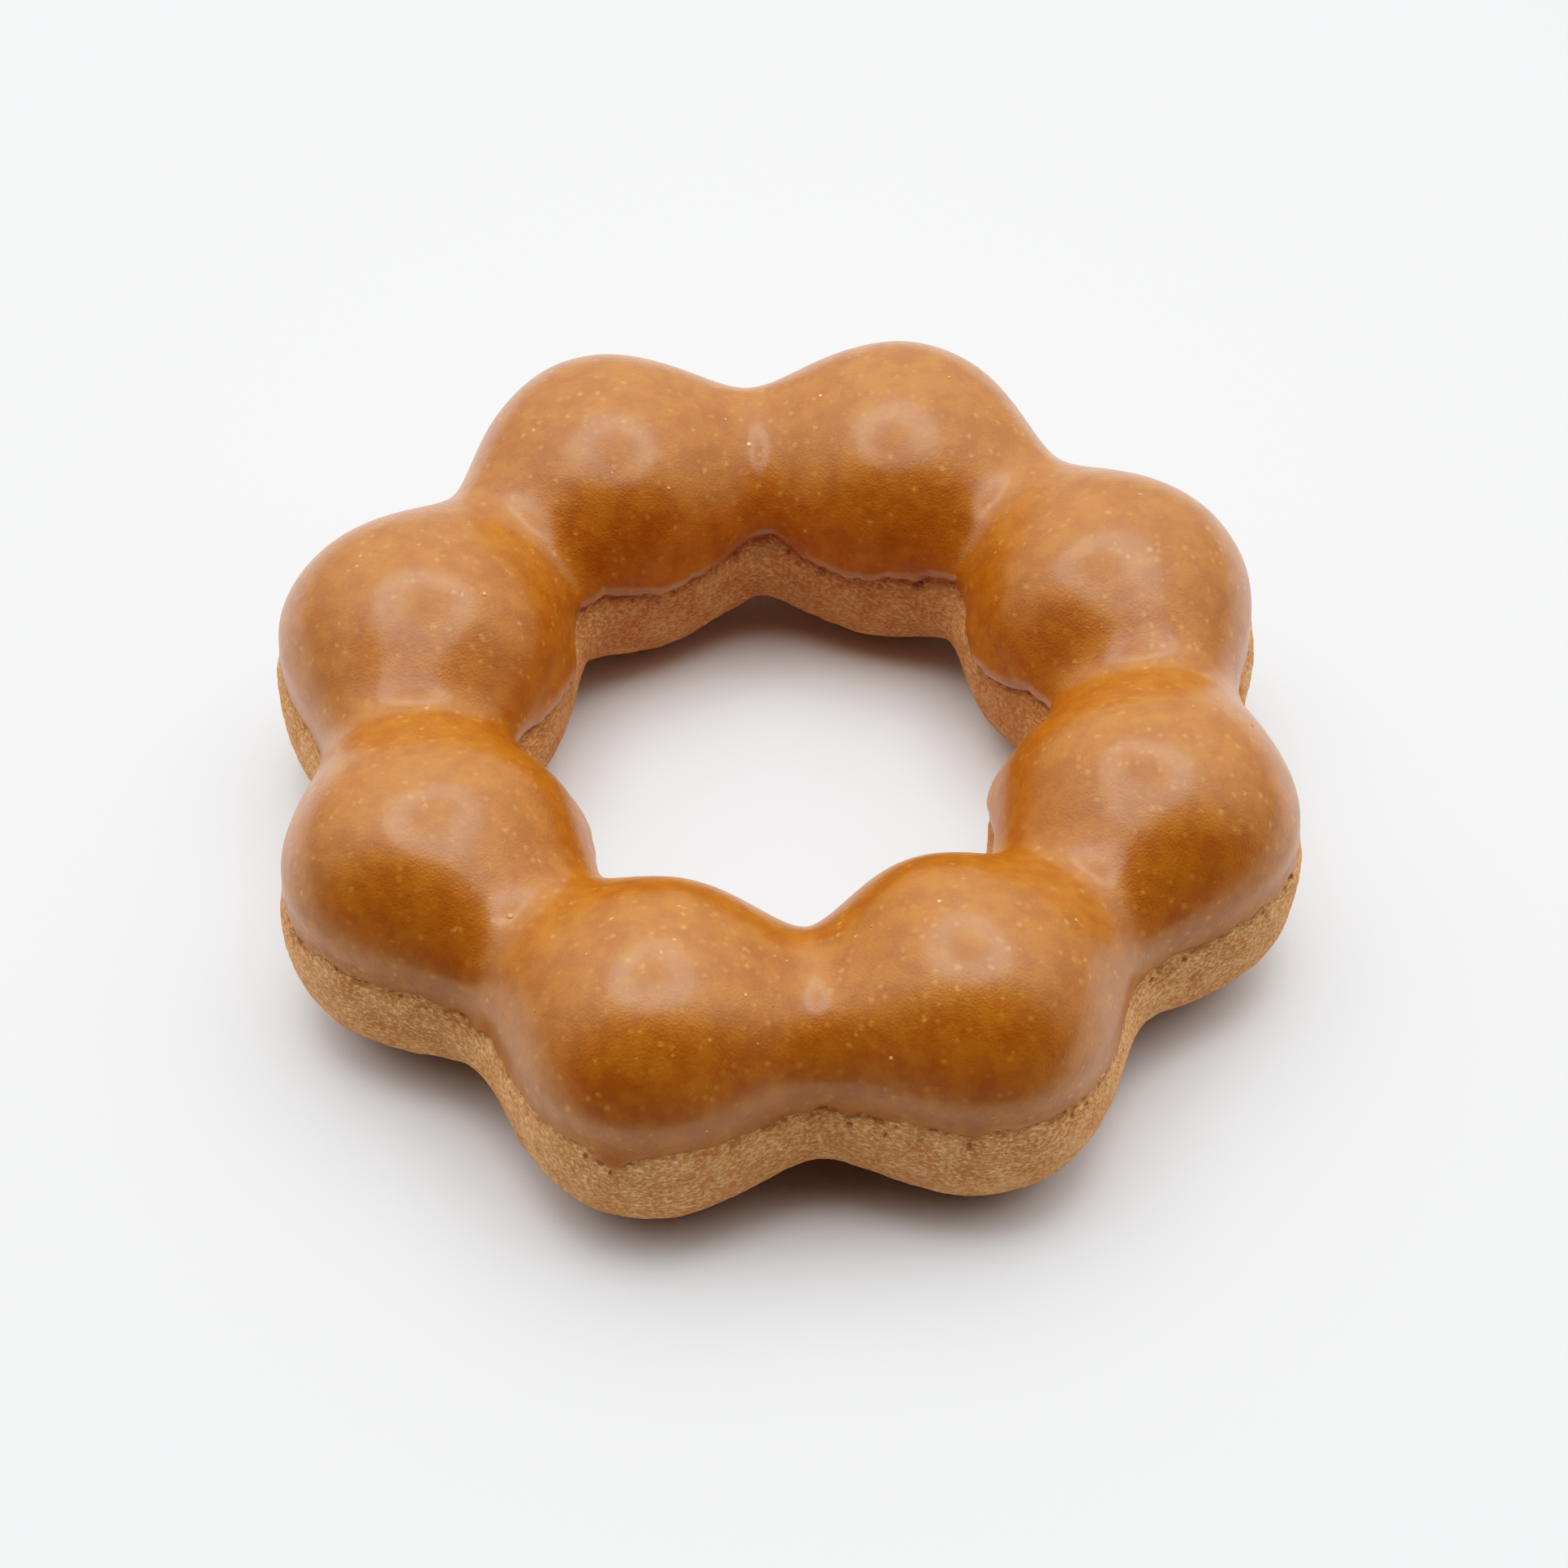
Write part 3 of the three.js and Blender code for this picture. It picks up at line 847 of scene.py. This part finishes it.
class DOUGHNUT_OT_stage(bpy.types.Operator):
    """Make the floor, the light tent and the camera."""

    bl_idname = "doughnut.stage"
    bl_label = "Make stage"

    def execute(self, context):
        scene = context.scene
        sizes = scene.doughnut_stage
        self.make_floor(scene, sizes)
        self.make_lamp(scene, sizes)
        self.make_tent(scene, sizes)
        self.make_camera(scene, sizes)
        self.set_tones(scene.view_settings)
        return {"FINISHED"}

    def set_tones(self, view):
        """A photo's tones: a short toe in the darks, and a shoulder that keeps white from clipping."""
        view.view_transform = "Standard"
        view.use_curve_mapping = True
        view.curve_mapping.clip_max_x = TONES[-1][0]
        curve = view.curve_mapping.curves[3]
        curve.points[1].location = TONES[-1]
        for scene_light, shown in TONES[:-1]:
            curve.points.new(scene_light, shown)
        for point in curve.points:
            point.handle_type = "AUTO_CLAMPED"
        view.curve_mapping.update()

    def make_floor(self, scene, sizes):
        half = sizes.floor_size / 2
        mesh = bpy.data.meshes.new("floor")
        mesh.from_pydata([(-half, -half, 0), (half, -half, 0), (half, half, 0), (-half, half, 0)],
                         [], [(0, 1, 2, 3)])
        mesh.materials.append(floor_material(scene.doughnut_finishes))
        floor = bpy.data.objects.new("floor", mesh)
        scene.collection.objects.link(floor)

    def make_lamp(self, scene, sizes):
        """An even round lamp with a dark middle, as in the roof of a small light tent."""
        light = bpy.data.lights.new("ring_lamp", "AREA")
        light.shape = "DISK"
        light.size = sizes.lamp_width
        light.energy = sizes.lamp_power
        light.use_nodes = True
        tree = light.node_tree
        emission = next(node for node in tree.nodes if node.type == "EMISSION")
        spot = split(tree, add_node(tree, "ShaderNodeNewGeometry").outputs["Parametric"])
        across, along = spot[0] - 0.5, spot[1] - 0.5
        radius = (across * across + along * along).math("SQRT") * 2
        hole, soft = sizes.lamp_hole, sizes.lamp_softness
        glow = radius.step_between(hole - soft, hole + soft)
        tree.links.new(glow.socket, emission.inputs["Strength"])
        lamp = bpy.data.objects.new("ring_lamp", light)
        lamp.location = (sizes.lamp_x, sizes.lamp_y, sizes.lamp_height)
        lamp.visible_camera = False
        scene.collection.objects.link(lamp)

    def make_tent(self, scene, sizes):
        """White walls behind, beside and above, and a dark open front."""
        world = bpy.data.worlds.new("tent")
        world.use_nodes = True
        tree = world.node_tree
        x, y, z = split(tree, add_node(tree, "ShaderNodeTexCoord").outputs["Generated"])
        sideways = abs(x) * sizes.opening_sides
        white = (y + sideways).step_between(sizes.opening_start, sizes.opening_end)
        background = next(node for node in tree.nodes if node.type == "BACKGROUND")
        background.inputs["Color"].default_value = (0.96, 0.98, 1.0, 1.0)
        glow = white * (z.at_least(0.0) * sizes.roof_glow + sizes.wall_glow)
        tree.links.new(glow.socket, background.inputs["Strength"])
        scene.world = world

    def make_camera(self, scene, sizes):
        data = bpy.data.cameras.new("camera")
        data.lens = sizes.lens
        data.sensor_width = 36
        data.clip_start = 0.01
        camera = bpy.data.objects.new("camera", data)
        aim = Vector((sizes.aim_x, sizes.aim_y, 0))
        back = Vector((0, -math.cos(sizes.elevation), math.sin(sizes.elevation)))
        camera.location = aim + back * sizes.distance
        camera.rotation_euler = back.to_track_quat("Z", "Y").to_euler()
        scene.collection.objects.link(camera)
        scene.camera = camera


class DOUGHNUT_OT_dough(bpy.types.Operator):
    """Make the fried dough ring."""

    bl_idname = "doughnut.dough"
    bl_label = "Make dough ring"

    def execute(self, context):
        material = dough_material(context.scene.doughnut_finishes)
        tree = dough_tree(context.scene, material)
        piece = grow_piece("fried_dough_ring", ball_plan(), tree)
        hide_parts("dough_ring")
        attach(piece, "root")
        return {"FINISHED"}


class DOUGHNUT_OT_icing(bpy.types.Operator):
    """Make the caramel icing."""

    bl_idname = "doughnut.icing"
    bl_label = "Make icing"

    def execute(self, context):
        material = icing_material(context.scene.doughnut_finishes)
        piece = grow_piece("caramel_icing", ball_plan(), icing_tree(context.scene, material))
        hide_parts("icing")
        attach(piece, "root")
        return {"FINISHED"}


class DOUGHNUT_OT_specks(bpy.types.Operator):
    """Make the sugar grains that are half sunk in the icing."""

    bl_idname = "doughnut.specks"
    bl_label = "Make sugar specks"

    def execute(self, context):
        material = speck_material(context.scene.doughnut_finishes)
        icing = bpy.data.objects["caramel_icing"]
        piece = grow_piece("sugar_specks", icing.data.copy(), speck_tree(context.scene, material))
        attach(piece, "root")
        return {"FINISHED"}


class DOUGHNUT_PT_panel(bpy.types.Panel):
    """Lists the doughnut's sizes, colours and operators."""

    bl_idname = "DOUGHNUT_PT_panel"
    bl_label = "Ring doughnut"
    bl_space_type = "VIEW_3D"
    bl_region_type = "UI"
    bl_category = "Doughnut"

    def draw(self, context):
        for operator in OPERATORS:
            self.layout.operator(operator.bl_idname)
        for name in SETTINGS:
            group = getattr(context.scene, name)
            box = self.layout.box()
            box.label(text=group.bl_rna.description)
            for key in group.__annotations__:
                box.prop(group, key)


OPERATORS = [DOUGHNUT_OT_stage, DOUGHNUT_OT_dough, DOUGHNUT_OT_icing, DOUGHNUT_OT_specks]
CLASSES = [*SETTINGS.values(), *OPERATORS, DOUGHNUT_PT_panel]


def register():
    for cls in CLASSES:
        bpy.utils.register_class(cls)
    for name, group in SETTINGS.items():
        setattr(bpy.types.Scene, name, PointerProperty(type=group))


def unregister():
    for name in SETTINGS:
        delattr(bpy.types.Scene, name)
    for cls in reversed(CLASSES):
        bpy.utils.unregister_class(cls)


def main():
    register()
    bpy.ops.doughnut.stage()
    bpy.ops.doughnut.dough()
    bpy.ops.doughnut.icing()
    bpy.ops.doughnut.specks()


if __name__ == "__main__":
    main()
